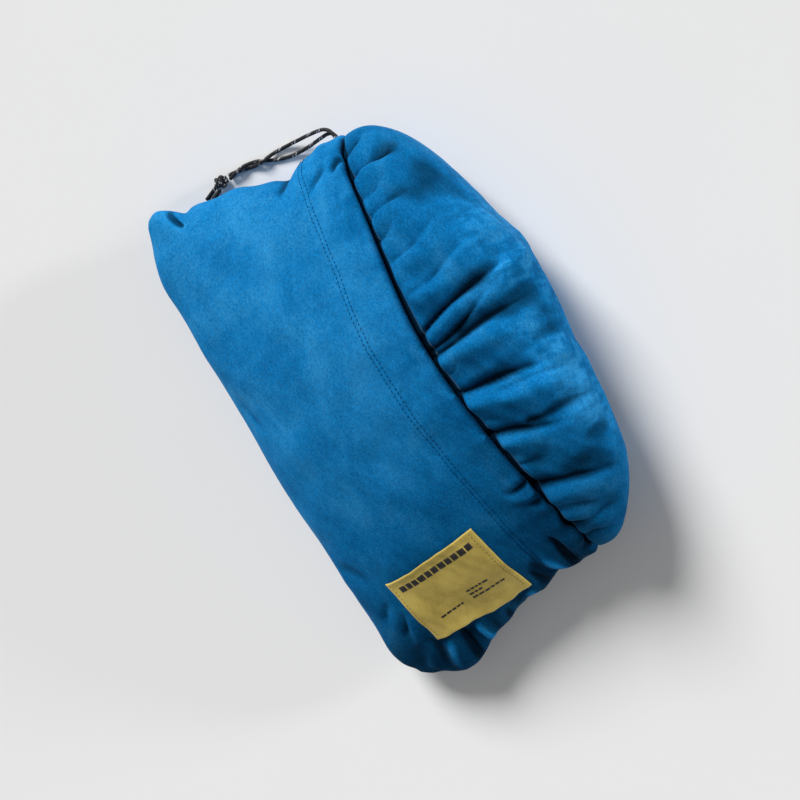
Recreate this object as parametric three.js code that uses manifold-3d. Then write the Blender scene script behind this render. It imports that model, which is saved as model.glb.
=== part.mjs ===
// Camp pillow held in a sewn drawcord sleeve. Millimetres, +Z up.
// +X runs along the pillow towards the label, +Y points out of the sleeve's mouth.
// The origin is under the middle of the pillow and sleeve, on the surface they lie on.
import * as THREE from "three";
import { mergeVertices } from "three/addons/utils/BufferGeometryUtils.js";
import Module from "manifold-3d";

// Overall size
const HALF_LENGTH = 210; // half the closed end's width, the widest place
const MOUTH_HALF = 184; // half the mouth's width
const CLOSED_Y = -138.5; // sewn closed end of the sleeve
const MOUTH_Y = 42; // mouth edge at the middle
const MOUTH_BOW = 8.5; // how much further forward the mouth edge lies at its two ends
const MOUTH_BOW_POWER = 3; // more brings the mouth edge forward nearer to its middle
const FRONT_Y = 137; // nose of the pillow
const SEAM_Z = 28; // height of the sleeve's side and end seams
const SLEEVE_RISE = 79; // sleeve's crown above its seams
const UNDERSIDE_DROP = 36; // underside curve below the seams, cut flat at the ground

// Cross-section exponents: 2 is an ellipse, less is leaner, more is squarer
const SHOULDER_LEFT = 1.9;
const SHOULDER_RIGHT = 1.7;
const UNDERSIDE = 2.6;
const PROFILE = 2.1; // sleeve's fall from its mouth to its closed end
const FLARE_START = 0.3; // where the sleeve starts to widen, as a share of its depth
const FLARE_END = 0.9;
const CORNER_START = 0.8; // where the closed end's corners start to round off
const CORNER_PULL = 0.065; // how much the corners pull in along the pillow's short side
const CORNER_NARROWING = 0.026; // how much they pull in along its length
const CORNER_POWER = 8; // more keeps the rounding nearer to the corner

// Cloth, seams and hem
const CLOTH = 1.2; // suede thickness
const LINING = 0.8; // inner bag's cloth
const SEAM_GAP = 0.3; // between two sewn panels, and between a seam strip and its panels
const CHANNEL = 4.8; // height of the drawcord channel inside the hem
const HEM_STACK = 2 * CLOTH + CHANNEL; // folded hem, outside to inside
const HEM_DEPTH = 38; // mouth edge to the end of the turned-in cloth
const SLIDE_GAP = 1.2; // room between the hem's inside and the pillow
const THREAD = 0.8; // topstitch thread's diameter
const THREAD_LIFT = 1.0; // thread's centre line above the cloth
const STITCH_ROWS = [35, 38.5]; // twin needle rows behind the mouth edge
const SEAM_STRIP = 0.6; // thickness of the turned-in seam allowance
const SEAM_STRIP_ANGLE = 9; // degrees of the cross-section that the strip covers each way
const SEAM_STRIP_INSET = 2 * CLOTH;
const END_SEAM_RISE = 3; // height of the end seam's allowance each way
const END_SEAM_INSET = 3 * CLOTH;
const END_SEAM_TRIM = 3; // columns of the panel left bare at each end of the end seam
const SEAM_STRIP_START = 0.26; // clear of the hem, as a share of the sleeve's depth
const SEAM_STRIP_END = 0.93; // clear of the end seam

// Pillow outside the sleeve
const PILLOW_SEAM_Z = 47; // height of the pillow's widest line at its front
const PILLOW_TOP = 112;
const BULGE_HALF = 189; // half-width just outside the mouth
const BULGE_START = 1.2; // bulge begins this far outside the mouth edge
const BULGE_LENGTH = 13; // length over which it reaches full size
const FRONT_PROFILE = 2.2;
const NOSE_LEFT = 1.66; // plan exponents of the pillow's front
const NOSE_RIGHT = 1.85;

// Label patch on the front panel, near the right-hand end
const LABEL = { x: 149, y: -50, width: 70, height: 88, turn: 4, slope: 32, thickness: 0.8, lift: 1.4 };
const LABEL_STITCH_INSET = 3.5;
const LABEL_STITCH_SHARE = 0.94; // share of the short edge that each row covers

// Drawcord
const CORD = 3; // diameter
const CORD_SET_BACK = 6; // cord's centre line behind the mouth edge
const CORD_INSET = CLOTH + CHANNEL / 2;
const CORD_END_ANGLE = 86; // where the channel run stops beside the exit slit, in degrees
const SLIT = { width: 6, height: 8, depth: 4 };
const STRAND_A = [
  [-179.2, 44.5, 29.8],
  [-185, 44.5, 29.8],
  [-190.5, 43.2, 29],
  [-194.6, 39, 26.4],
  [-197, 32.5, 21.5],
  [-199, 25, 15.6],
  [-200.8, 17, 10],
  [-202.4, 8.5, 5.4],
  [-203.8, -0.5, 2.7],
  [-204.8, -8.5, 1.9],
  [-205, -15, 3],
  [-204.6, -20, 4.6],
  [-204.5, -24, 5.1],
  [-204.6, -28, 4.1],
  [-205, -31, 2.8],
  [-205.8, -34.5, 1.8],
  [-207, -38.5, 1.6],
  [-208.2, -42.5, 1.6],
  [-209.4, -46.5, 1.6],
  [-210.4, -50.5, 1.8],
  [-211, -55, 2.6],
];
const STRAND_B = [
  [-179.2, 44.5, 26.2],
  [-184.5, 44.4, 26.1],
  [-188.8, 42.4, 24.6],
  [-191, 37.5, 21.2],
  [-191.8, 31, 16.8],
  [-192.4, 24, 12.2],
  [-193, 16.5, 7.8],
  [-193.8, 8.5, 4.4],
  [-195, 0.5, 2.3],
  [-196.8, -6.5, 1.6],
  [-199.4, -13.5, 1.6],
  [-202.4, -19.5, 1.6],
  [-204.8, -24, 1.6],
  [-207, -28, 1.6],
  [-208.3, -31.5, 1.8],
  [-209.2, -35, 2.4],
  [-209.7, -39, 3.9],
  [-209.6, -42.5, 4.8],
  [-209.2, -46.5, 5],
  [-208.5, -50.5, 4.5],
  [-207.8, -55, 3.6],
];
const KNOT = { x: -209.4, y: -62.5, radius: 6 };
const TAIL_A = [
  [-208.9, -68.9, 3.4],
  [-207.9, -73, 2.2],
  [-206.6, -77.5, 1.7],
  [-205.2, -82, 1.6],
];
const TAIL_B = [
  [-205.2, -67.2, 3.4],
  [-203.9, -71.5, 2.2],
  [-202.8, -75.5, 1.7],
  [-201.8, -79.5, 1.6],
];

// How finely the surfaces are divided
const COLUMNS = 16;
const BODY_ROWS = 9;
const ROW_CROWDING = 1.7; // rows crowd towards the closed end, where the profile turns down
const FOLD_STEPS = 2;
const FRONT_ROWS = 7;
const SWELL_STATIONS = [1.04, 1.08]; // extra rows where the pillow swells out of the mouth
const LABEL_STEPS = 5;
const THREAD_SIDES = 6;
const CORD_SIDES = 8;
const WELD = 1e-4; // corners closer than this are one
const PLAN_PASSES = 12; // steps taken to find the panel above a place in plan

const TOP = 1;
const BOTTOM = -1;
const QUARTER = Math.PI / 2;

const suede = { color: 0x0f6eb4, roughness: 0.9, metalness: 0 };
const lining = { color: 0xd9dce0, roughness: 0.9, metalness: 0 };
const wadding = { color: 0xf2f2ee, roughness: 1, metalness: 0 };
const thread = { color: 0x06304f, roughness: 0.8, metalness: 0 };
const patch = { color: 0xaa924e, roughness: 0.6, metalness: 0 };
const cordage = { color: 0x16171a, roughness: 0.75, metalness: 0 };

const sleeve = new THREE.Group();
const pillow = new THREE.Group();

function addPart(group, name, geometry, look) {
  const mesh = new THREE.Mesh(geometry, new THREE.MeshStandardMaterial(look));
  mesh.name = name;
  group.add(mesh);
}

// ---- Shaping functions ----

function smoothstep(low, high, value) {
  const share = THREE.MathUtils.clamp((value - low) / (high - low), 0, 1);
  return share * share * (3 - 2 * share);
}

// Height of a superellipse of radius 1 at a distance along its axis
function crown(distance, exponent) {
  const rest = 1 - Math.min(Math.abs(distance), 1) ** exponent;
  return rest ** (1 / exponent);
}

// Across the section: where a column lies (-1 to 1) and how high the section is there
function across(side, angle) {
  let exponent = UNDERSIDE;
  if (side === TOP) {
    exponent = angle > 0 ? SHOULDER_RIGHT : SHOULDER_LEFT;
  }
  const reach = Math.abs(Math.sin(angle)) ** (2 / exponent) * Math.sign(angle);
  const height = Math.abs(angle) >= QUARTER ? 0 : Math.cos(angle) ** (2 / exponent);
  return { reach, height };
}

function mouthY(reach) {
  return MOUTH_Y + MOUTH_BOW * (1 - (1 - reach * reach) ** MOUTH_BOW_POWER);
}

// Point of the sleeve: depth is 0 at the mouth and 1 at the closed end,
// inset is measured inwards from the sleeve's outside
function sleevePoint(side, angle, depth, inset, gap = SEAM_GAP / 2) {
  const { reach, height } = across(side, angle);
  const flare = smoothstep(FLARE_START, FLARE_END, depth);
  const half = MOUTH_HALF + (HALF_LENGTH - MOUTH_HALF) * flare - inset;
  const corner = smoothstep(CORNER_START, 1, depth) * reach ** CORNER_POWER;
  const fall = height * crown(depth, PROFILE);
  const front = mouthY(reach);
  let z = (SLEEVE_RISE - inset) * fall + gap;
  if (side === BOTTOM) {
    z = -Math.min((UNDERSIDE_DROP - inset) * fall + gap, SEAM_Z - inset);
  }
  return new THREE.Vector3(
    half * reach * (1 - CORNER_NARROWING * corner),
    front - depth * (front - CLOSED_Y - inset) * (1 - CORNER_PULL * corner),
    SEAM_Z + z,
  );
}

function depthBehindMouth(angle, side, distance) {
  const { reach } = across(side, angle);
  return distance / (mouthY(reach) - CLOSED_Y);
}

// Point of the pillow: station runs from 0 at its hidden end to 1 at the mouth and 2 at its nose
function pillowPoint(side, angle, station, inset, gap = SEAM_GAP / 2) {
  const { reach, height } = across(side, angle);
  const layer = HEM_STACK + SLIDE_GAP + inset;
  const mouth = mouthY(reach) + BULGE_START;
  const hiddenEnd = CLOSED_Y + layer;
  const depth = crown(Math.min(station, 1), 2);
  const forward = Math.sin(Math.max(station - 1, 0) * QUARTER);
  const reachForward = forward * (FRONT_Y - inset - mouth);
  const bulge = smoothstep(0, BULGE_LENGTH, reachForward);
  const half = THREE.MathUtils.lerp(MOUTH_HALF - layer, BULGE_HALF - inset, bulge);
  const waist = THREE.MathUtils.lerp(SEAM_Z, PILLOW_SEAM_Z, bulge);
  const top = THREE.MathUtils.lerp(SEAM_Z + SLEEVE_RISE - layer, PILLOW_TOP - inset, bulge);
  const ground = THREE.MathUtils.lerp(layer, inset, bulge);
  const fall = height * crown(depth, PROFILE) * crown(forward, FRONT_PROFILE);
  const overdrop = UNDERSIDE_DROP - SEAM_Z;
  let z = (top - waist) * fall + gap;
  if (side === BOTTOM) {
    z = -Math.min((waist - ground + overdrop) * fall + gap, waist - ground);
  }
  return new THREE.Vector3(
    half * reach * crown(forward, angle < 0 ? NOSE_LEFT : NOSE_RIGHT),
    mouth - depth * (mouth - hiddenEnd) + reachForward,
    waist + z,
  );
}

// ---- Turning points into closed bodies ----

function range(steps, low, high) {
  return Array.from({ length: steps + 1 }, (_, i) => low + ((high - low) * i) / steps);
}

const columnAngles = range(COLUMNS, -QUARTER, QUARTER);

function signedVolume(position, index) {
  const corners = [new THREE.Vector3(), new THREE.Vector3(), new THREE.Vector3()];
  let volume = 0;
  for (let i = 0; i < index.length; i += 3) {
    corners.forEach((corner, k) => corner.fromBufferAttribute(position, index[i + k]));
    volume += corners[0].dot(corners[1].clone().cross(corners[2])) / 6;
  }
  return volume;
}

// Closed body between two matching grids of points, outer[row][column] and inner[row][column]
function bodyBetween(outer, inner) {
  const corners = [];
  const quad = (a, b, c, d) => corners.push(a, b, c, a, c, d);
  const lastRow = outer.length - 1;
  const lastColumn = outer[0].length - 1;
  for (let r = 0; r < lastRow; r++) {
    for (let c = 0; c < lastColumn; c++) {
      quad(outer[r][c], outer[r][c + 1], outer[r + 1][c + 1], outer[r + 1][c]);
      quad(inner[r][c], inner[r + 1][c], inner[r + 1][c + 1], inner[r][c + 1]);
    }
    quad(outer[r][0], outer[r + 1][0], inner[r + 1][0], inner[r][0]);
    quad(outer[r + 1][lastColumn], outer[r][lastColumn], inner[r][lastColumn], inner[r + 1][lastColumn]);
  }
  for (let c = 0; c < lastColumn; c++) {
    quad(outer[0][c + 1], outer[0][c], inner[0][c], inner[0][c + 1]);
    quad(outer[lastRow][c], outer[lastRow][c + 1], inner[lastRow][c + 1], inner[lastRow][c]);
  }
  const loose = new THREE.BufferGeometry().setFromPoints(corners);
  const merged = mergeVertices(loose, WELD);
  const index = [];
  for (let i = 0; i < merged.index.count; i += 3) {
    const [a, b, c] = [0, 1, 2].map((k) => merged.index.getX(i + k));
    if (a !== b && b !== c && c !== a) {
      index.push(a, b, c);
    }
  }
  if (signedVolume(merged.attributes.position, index) < 0) {
    index.reverse();
  }
  merged.setIndex(index);
  merged.computeVertexNormals();
  return merged;
}

function grid(rows, columns, point) {
  return rows.map((row) => columns.map((column) => point(row, column)));
}

// Route whose stations are its own points, so that tight turns get as many as they need
class Route extends THREE.CatmullRomCurve3 {
  getPointAt(share, target) {
    return this.getPoint(share, target);
  }

  getTangentAt(share, target) {
    return this.getTangent(share, target);
  }
}

function tube(points, diameter, sides) {
  const outline = range(sides - 1, 0, sides - 1).map((i) => {
    const angle = (i * 2 * Math.PI) / sides;
    return new THREE.Vector2(Math.cos(angle), Math.sin(angle)).multiplyScalar(diameter / 2);
  });
  return new THREE.ExtrudeGeometry(new THREE.Shape(outline), {
    steps: points.length - 1,
    extrudePath: new Route(points, false, "centripetal"),
    bevelEnabled: false,
  });
}

const wasm = await Module();
wasm.setup();

function toManifold(geometry) {
  const bare = new THREE.BufferGeometry();
  bare.setAttribute("position", geometry.attributes.position.clone());
  bare.setIndex(geometry.index ? [...geometry.index.array] : null);
  const merged = mergeVertices(bare, WELD);
  const vertProperties = Float32Array.from(merged.attributes.position.array);
  const triVerts = Uint32Array.from(merged.index.array);
  return new wasm.Manifold(new wasm.Mesh({ numProp: 3, vertProperties, triVerts }));
}

function cutAway(geometry, tool) {
  const mesh = toManifold(geometry).subtract(toManifold(tool)).getMesh();
  const result = new THREE.BufferGeometry();
  result.setAttribute("position", new THREE.BufferAttribute(mesh.vertProperties, 3));
  result.setIndex([...mesh.triVerts]);
  result.computeVertexNormals();
  return result;
}

// ---- Sleeve panels, each with its hem turned in around the drawcord ----

// Rows of one panel from the turned-in edge, round the mouth's fold, to the closed end.
// Each row gives the distance behind the mouth (or a share of the rest) and both faces' insets.
function panelRows() {
  const fold = HEM_STACK / 2;
  const turnedIn = [HEM_DEPTH, HEM_DEPTH / 2].map((distance) => ({
    face: { distance, inset: HEM_STACK },
    back: { distance, inset: HEM_STACK - CLOTH },
  }));
  const round = range(2 * FOLD_STEPS, QUARTER, -QUARTER).map((angle) => ({
    face: { distance: fold - fold * Math.cos(angle), inset: fold + fold * Math.sin(angle) },
    back: {
      distance: fold - (fold - CLOTH) * Math.cos(angle),
      inset: fold + (fold - CLOTH) * Math.sin(angle),
    },
  }));
  const behindHem = range(BODY_ROWS, 1, 0).map((rest) => ({
    face: { share: 1 - rest ** ROW_CROWDING, inset: 0 },
    back: { share: 1 - rest ** ROW_CROWDING, inset: CLOTH },
  }));
  return [...turnedIn, ...round, ...behindHem];
}

function sleevePanel(side) {
  const rows = panelRows();
  const surface = (which) =>
    grid(rows, columnAngles, (row, angle) => {
      const spot = row[which];
      const hem = depthBehindMouth(angle, side, HEM_DEPTH);
      const depth =
        spot.share === undefined
          ? depthBehindMouth(angle, side, spot.distance)
          : hem + (1 - hem) * spot.share;
      return sleevePoint(side, angle, depth, spot.inset);
    });
  return bodyBetween(surface("face"), surface("back"));
}

// Slit in the left-hand side seam where the drawcord leaves its channel
function exitSlit() {
  const slit = new THREE.BoxGeometry(SLIT.depth, SLIT.width, SLIT.height);
  const middle = -MOUTH_HALF + CLOTH / 2;
  slit.translate(middle, mouthY(1) - CORD_SET_BACK, SEAM_Z);
  return slit;
}

addPart(sleeve, "sleeve_front_panel", cutAway(sleevePanel(TOP), exitSlit()), suede);
addPart(sleeve, "sleeve_back_panel", cutAway(sleevePanel(BOTTOM), exitSlit()), suede);

// ---- Seam allowances, sewn together and turned inside ----

function sideSeamStrip(direction) {
  const spread = THREE.MathUtils.degToRad(SEAM_STRIP_ANGLE);
  const depths = range(BODY_ROWS, SEAM_STRIP_START, SEAM_STRIP_END);
  const offsets = [spread, 0, -spread];
  const surface = (inset) =>
    grid(depths, offsets, (depth, offset) => {
      const side = offset >= 0 ? TOP : BOTTOM;
      const angle = direction * (QUARTER - Math.abs(offset));
      return sleevePoint(side, angle, depth, inset, 0);
    });
  return bodyBetween(surface(SEAM_STRIP_INSET), surface(SEAM_STRIP_INSET + SEAM_STRIP));
}

function endSeamStrip() {
  const middleAngles = columnAngles.slice(END_SEAM_TRIM, -END_SEAM_TRIM);
  const surface = (inset) =>
    grid([END_SEAM_RISE, 0, -END_SEAM_RISE], middleAngles, (lift, angle) => {
      const edge = sleevePoint(TOP, angle, 1, inset, 0);
      const lean = (lift / SLEEVE_RISE) ** 2 * (MOUTH_Y - CLOSED_Y);
      return edge.add(new THREE.Vector3(0, lean, lift));
    });
  return bodyBetween(surface(END_SEAM_INSET), surface(END_SEAM_INSET + SEAM_STRIP));
}

addPart(sleeve, "side_seam_left", sideSeamStrip(-1), suede);
addPart(sleeve, "side_seam_right", sideSeamStrip(1), suede);
addPart(sleeve, "end_seam", endSeamStrip(), suede);

// ---- Twin rows of topstitching that hold the hem ----

function hemStitch(side, distance) {
  const points = columnAngles.slice(1, -1).map((angle) => {
    const depth = depthBehindMouth(angle, side, distance);
    return sleevePoint(side, angle, depth, side === TOP ? -THREAD_LIFT : THREAD_LIFT + CLOTH);
  });
  return tube(points, THREAD, THREAD_SIDES);
}

STITCH_ROWS.forEach((distance, i) => {
  addPart(sleeve, `hem_stitch_front_${i + 1}`, hemStitch(TOP, distance), thread);
  addPart(sleeve, `hem_stitch_back_${i + 1}`, hemStitch(BOTTOM, distance), thread);
});

// ---- Label patch and the thread at its two short ends ----

// Point on the front panel above a place in plan, found by stepping towards it
function frontPanelAbove(x, y, inset) {
  let reach = x / HALF_LENGTH;
  let depth = 0.5;
  for (let pass = 0; pass < PLAN_PASSES; pass++) {
    const flare = smoothstep(FLARE_START, FLARE_END, depth);
    reach = x / (MOUTH_HALF + (HALF_LENGTH - MOUTH_HALF) * flare - inset);
    depth = (mouthY(reach) - y) / (mouthY(reach) - CLOSED_Y - inset);
  }
  const angle = Math.asin(Math.abs(reach) ** (SHOULDER_RIGHT / 2));
  return sleevePoint(TOP, angle, depth, inset);
}

function labelPoint(along, up, lift) {
  const turn = THREE.MathUtils.degToRad(LABEL.turn);
  const x = LABEL.x + along * Math.cos(turn) - up * Math.sin(turn);
  const y = LABEL.y + along * Math.sin(turn) + up * Math.cos(turn);
  return frontPanelAbove(x, y, -lift);
}

function labelPatch() {
  const half = (LABEL.width / 2) * Math.cos(THREE.MathUtils.degToRad(LABEL.slope));
  const alongs = range(LABEL_STEPS, -half, half);
  const ups = range(LABEL_STEPS, -LABEL.height / 2, LABEL.height / 2);
  const surface = (lift) => grid(ups, alongs, (up, along) => labelPoint(along, up, lift));
  return { alongs, body: bodyBetween(surface(LABEL.lift + LABEL.thickness), surface(LABEL.lift)) };
}

const label = labelPatch();
addPart(sleeve, "label", label.body, patch);

[-1, 1].forEach((end) => {
  const up = end * (LABEL.height / 2 - LABEL_STITCH_INSET);
  const lift = LABEL.lift + LABEL.thickness + THREAD;
  const points = label.alongs.map((along) => labelPoint(along * LABEL_STITCH_SHARE, up, lift));
  const name = end < 0 ? "label_stitch_lower" : "label_stitch_upper";
  addPart(sleeve, name, tube(points, THREAD, THREAD_SIDES), thread);
});

// ---- Drawcord: one run through the hem, and its two free ends tied together ----

function channelPoints(side) {
  const last = THREE.MathUtils.degToRad(CORD_END_ANGLE);
  return [-last, ...columnAngles.slice(1, -1)].map((angle) => {
    const depth = depthBehindMouth(angle, side, CORD_SET_BACK);
    return sleevePoint(side, angle, depth, CORD_INSET, 0);
  });
}

function drawcordRun() {
  const turn = sleevePoint(TOP, QUARTER, depthBehindMouth(QUARTER, TOP, CORD_SET_BACK), CORD_INSET, 0);
  return tube([...channelPoints(TOP), turn, ...channelPoints(BOTTOM).reverse()], CORD, CORD_SIDES);
}

function freeCord(points) {
  return tube(points.map((point) => new THREE.Vector3(...point)), CORD, CORD_SIDES);
}

function knotBody() {
  const ball = new THREE.SphereGeometry(KNOT.radius, 12, 8);
  ball.translate(KNOT.x, KNOT.y, KNOT.radius);
  return ball;
}

addPart(sleeve, "drawcord_in_hem", drawcordRun(), cordage);
addPart(sleeve, "cord_strand_a", freeCord(STRAND_A), cordage);
addPart(sleeve, "cord_strand_b", freeCord(STRAND_B), cordage);
addPart(sleeve, "cord_knot", knotBody(), cordage);
addPart(sleeve, "cord_tail_a", freeCord(TAIL_A), cordage);
addPart(sleeve, "cord_tail_b", freeCord(TAIL_B), cordage);

// ---- Pillow: suede cover, lining bag and wadding ----

const hiddenStations = range(BODY_ROWS, 0, 1);
const frontStations = range(FRONT_ROWS, 0, 1).slice(1).map((share) => 1 + share);
const stations = [...hiddenStations, ...SWELL_STATIONS, ...frontStations];

function pillowShell(side, inset, thickness) {
  const surface = (depth) =>
    grid(stations, columnAngles, (station, angle) => pillowPoint(side, angle, station, depth));
  return bodyBetween(surface(inset), surface(inset + thickness));
}

const LINING_INSET = CLOTH + 3 * SEAM_GAP;
const FILL_INSET = LINING_INSET + LINING + 3 * SEAM_GAP;

function fillBody() {
  const surface = (side) =>
    grid(stations, columnAngles, (station, angle) => pillowPoint(side, angle, station, FILL_INSET, 0));
  return bodyBetween(surface(TOP), surface(BOTTOM));
}

addPart(pillow, "pillow_cover_top", pillowShell(TOP, 0, CLOTH), suede);
addPart(pillow, "pillow_cover_bottom", pillowShell(BOTTOM, 0, CLOTH), suede);
addPart(pillow, "inner_bag_top", pillowShell(TOP, LINING_INSET, LINING), lining);
addPart(pillow, "inner_bag_bottom", pillowShell(BOTTOM, LINING_INSET, LINING), lining);
addPart(pillow, "pillow_fill", fillBody(), wadding);

const campPillow = new THREE.Group();
campPillow.add(sleeve, pillow);

export default campPillow;
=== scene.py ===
"""Camp pillow in its drawcord sleeve: suede panels, gathered pillow front, label and knotted cord."""
import math

import bmesh
import bpy
import numpy as np
from mathutils import Matrix, Vector


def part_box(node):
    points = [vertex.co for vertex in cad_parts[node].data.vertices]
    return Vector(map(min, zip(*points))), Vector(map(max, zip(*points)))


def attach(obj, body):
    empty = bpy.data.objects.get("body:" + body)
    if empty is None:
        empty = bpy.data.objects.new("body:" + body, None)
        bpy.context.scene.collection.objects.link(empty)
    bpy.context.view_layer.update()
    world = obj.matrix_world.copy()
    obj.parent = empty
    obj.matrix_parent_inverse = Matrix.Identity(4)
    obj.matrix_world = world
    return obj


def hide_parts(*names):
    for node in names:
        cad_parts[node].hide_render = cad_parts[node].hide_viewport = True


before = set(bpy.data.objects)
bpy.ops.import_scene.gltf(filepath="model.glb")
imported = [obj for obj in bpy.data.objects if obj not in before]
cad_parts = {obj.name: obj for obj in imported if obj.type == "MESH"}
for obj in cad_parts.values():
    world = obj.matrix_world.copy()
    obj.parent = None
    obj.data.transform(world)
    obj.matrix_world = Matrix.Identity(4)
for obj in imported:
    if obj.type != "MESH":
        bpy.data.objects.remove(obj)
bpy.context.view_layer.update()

MM = 0.001
TOP, BOTTOM = 1, -1
QUARTER = math.pi / 2

# ---- Dimensions in millimetres, from the frame where it holds them ----


def box_mm(node):
    low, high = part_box(node)
    return np.array(low) / MM, np.array(high) / MM


SLEEVE_LOW, SLEEVE_HIGH = box_mm("sleeve_front_panel")
COVER_HIGH = box_mm("pillow_cover_top")[1]
KNOT_LOW, KNOT_HIGH = box_mm("cord_knot")
HALF_LENGTH = 210.0
CLOSED_Y = SLEEVE_LOW[1]
FRONT_Y = COVER_HIGH[1]
PILLOW_TOP = 112.0
MOUTH_BOW = 8.5
MOUTH_Y = SLEEVE_HIGH[1] - MOUTH_BOW
SEAM_Z = 28.0
SLEEVE_RISE = 79.0
UNDERSIDE_DROP = 36.0
MOUTH_HALF = 184.0
CLOTH = 1.2
CHANNEL = 4.8  # room for the cord between the hem's two layers
HEM_STACK = 2 * CLOTH + CHANNEL
HEM_DEPTH = 38.0
SLIDE_GAP = 1.2
PILLOW_INSET = HEM_STACK + SLIDE_GAP
PILLOW_SEAM_Z = 47.0
BULGE_HALF = 189.0
BULGE_LENGTH = 8.0
SIDE_BULGE_LENGTH = 30.0
NOSE_LEFT, NOSE_RIGHT = 1.66, 1.85
LABEL_X, LABEL_Y = 149.0, -50.0
LABEL_WIDTH, LABEL_HEIGHT = 70.0, 88.0
LABEL_TURN = math.radians(4)
LABEL_SLOPE = math.radians(32)
LABEL_HALF = LABEL_WIDTH / 2 * math.cos(LABEL_SLOPE)  # half of its width in plan
SHOULDER_LEFT, SHOULDER_RIGHT, UNDERSIDE = 1.9, 1.7, 2.6
PROFILE = 2.1
FRONT_PROFILE = 2.2
FLARE_START, FLARE_END = 0.3, 0.9
CORNER_PULL, CORNER_NARROWING, CORNER_POWER = 0.065, 0.026, 8
STITCH_ROWS = (35.0, 38.5)
CORD = 3.0

# ---- Camera, at the angle the pillow is looked at ----

TARGET = Vector((9.6, -15.4, 47.6)) * MM
DISTANCE = 1.426
TILT = math.radians(20)
ROLL = math.radians(58.3)
LENS = 85.0


def make_camera():
    lengthwise = Vector((1, 0, 0))
    away = Vector((0, math.cos(TILT), -math.sin(TILT)))
    towards = Vector((0, math.sin(TILT), math.cos(TILT)))
    right = lengthwise * math.cos(ROLL) + away * math.sin(ROLL)
    up = away * math.cos(ROLL) - lengthwise * math.sin(ROLL)
    data = bpy.data.cameras.new("camera")
    data.lens = LENS
    data.sensor_width = 36
    camera = bpy.data.objects.new("camera", data)
    bpy.context.collection.objects.link(camera)
    turn = Matrix((right, up, towards)).transposed().to_4x4()
    camera.matrix_world = Matrix.Translation(TARGET + towards * DISTANCE) @ turn
    bpy.context.scene.camera = camera


make_camera()

# ---- Small helpers ----


def ease(low, high, value):
    """0 at low and 1 at high, with soft ends; low may be the larger one."""
    share = np.clip((value - low) / (high - low), 0, 1)
    return share * share * (3 - 2 * share)


def bump(value, middle, width):
    return np.exp(-(((value - middle) / width) ** 2))


def lerp(a, b, share):
    return a + (b - a) * share


def crown(distance, exponent):
    return np.clip(1 - np.clip(np.abs(distance), 0, 1) ** exponent, 0, 1) ** (1 / exponent)


def catmull_rom(a, b, c, d, t):
    """Point at share t between b and c on the smooth curve through all four."""
    return 0.5 * (2 * b + (c - a) * t + (2 * a - 5 * b + 4 * c - d) * t**2 + (3 * b - a - 3 * c + d) * t**3)


def crossed(rows, columns):
    """Each point's row value and column value, as two grids."""
    return np.meshgrid(rows, columns, indexing="ij")


def stacked(layers):
    """The points of all the layers as one list."""
    return np.concatenate([np.reshape(layer, (-1, 3)) for layer in layers])


def lengths_along(route):
    """How far along a route each of its points lies."""
    return np.concatenate([[0], np.cumsum(np.linalg.norm(np.diff(route, axis=0), axis=1))])


def points_at(wanted, lengths, route):
    """Points of a route at the wanted lengths along it."""
    return np.stack([np.interp(wanted, lengths, route[:, k]) for k in range(3)], axis=-1)


def link(name, mesh):
    piece = bpy.data.objects.new(name, mesh)
    bpy.context.collection.objects.link(piece)
    return piece


def mesh_piece(name, points, faces, material, body="sleeve", replaces=(), weld=0.0, marks=None):
    """A smooth mesh from points in millimetres, riding on a body and standing for CAD nodes.

    marks are named values at the points, which a material reads."""
    mesh = bpy.data.meshes.new(name)
    mesh.from_pydata((np.asarray(points) * MM).tolist(), [], faces)
    for mark, values in (marks or {}).items():
        mesh.attributes.new(mark, "FLOAT", "POINT").data.foreach_set("value", np.ravel(values))
    if weld:
        shape = bmesh.new()
        shape.from_mesh(mesh)
        bmesh.ops.remove_doubles(shape, verts=shape.verts, dist=weld * MM)
        bmesh.ops.recalc_face_normals(shape, faces=shape.faces)
        shape.to_mesh(mesh)
        shape.free()
    mesh.polygons.foreach_set("use_smooth", [True] * len(mesh.polygons))
    mesh.materials.append(material)
    piece = link(name, mesh)
    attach(piece, body)
    if replaces:
        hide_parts(*replaces)
    return piece


def grid_faces(rows, columns, start=0, flip=False, wrap=False):
    """Faces of a grid of points, row by row; wrap joins its last column to its first."""
    across = columns if wrap else columns - 1
    r, c = crossed(np.arange(rows - 1), np.arange(across))
    first = start + r * columns + c
    beside = start + r * columns + (c + 1) % columns
    corners = [first, beside, beside + columns, first + columns]
    if flip:
        corners.reverse()
    return np.stack(corners, axis=-1).reshape(-1, 4).tolist()


def shell_faces(rows, columns):
    """Faces of a closed body between two matching grids, the outer one stored first."""
    inner = rows * columns
    faces = grid_faces(rows, columns) + grid_faces(rows, columns, inner, flip=True)
    for r in range(rows - 1):
        a, b = r * columns, (r + 1) * columns
        faces.append([a, b, inner + b, inner + a])
        a, b = a + columns - 1, b + columns - 1
        faces.append([b, a, inner + a, inner + b])
    last = (rows - 1) * columns
    for c in range(columns - 1):
        faces.append([c + 1, c, inner + c, inner + c + 1])
        faces.append([last + c, last + c + 1, inner + last + c + 1, inner + last + c])
    return faces


def waves(points, size, seed, count=9):
    """Smooth relief of about the given size in millimetres, the same every run."""
    source = np.random.default_rng(seed)
    total = np.zeros(points.shape[:-1])
    for _ in range(count):
        direction = source.normal(size=points.shape[-1])
        length = size * source.uniform(0.7, 1.6)
        direction *= 2 * math.pi / (length * np.linalg.norm(direction))
        total += np.sin(points @ direction + source.uniform(0, 2 * math.pi))
    return total / math.sqrt(count)


# ---- Materials ----


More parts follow.
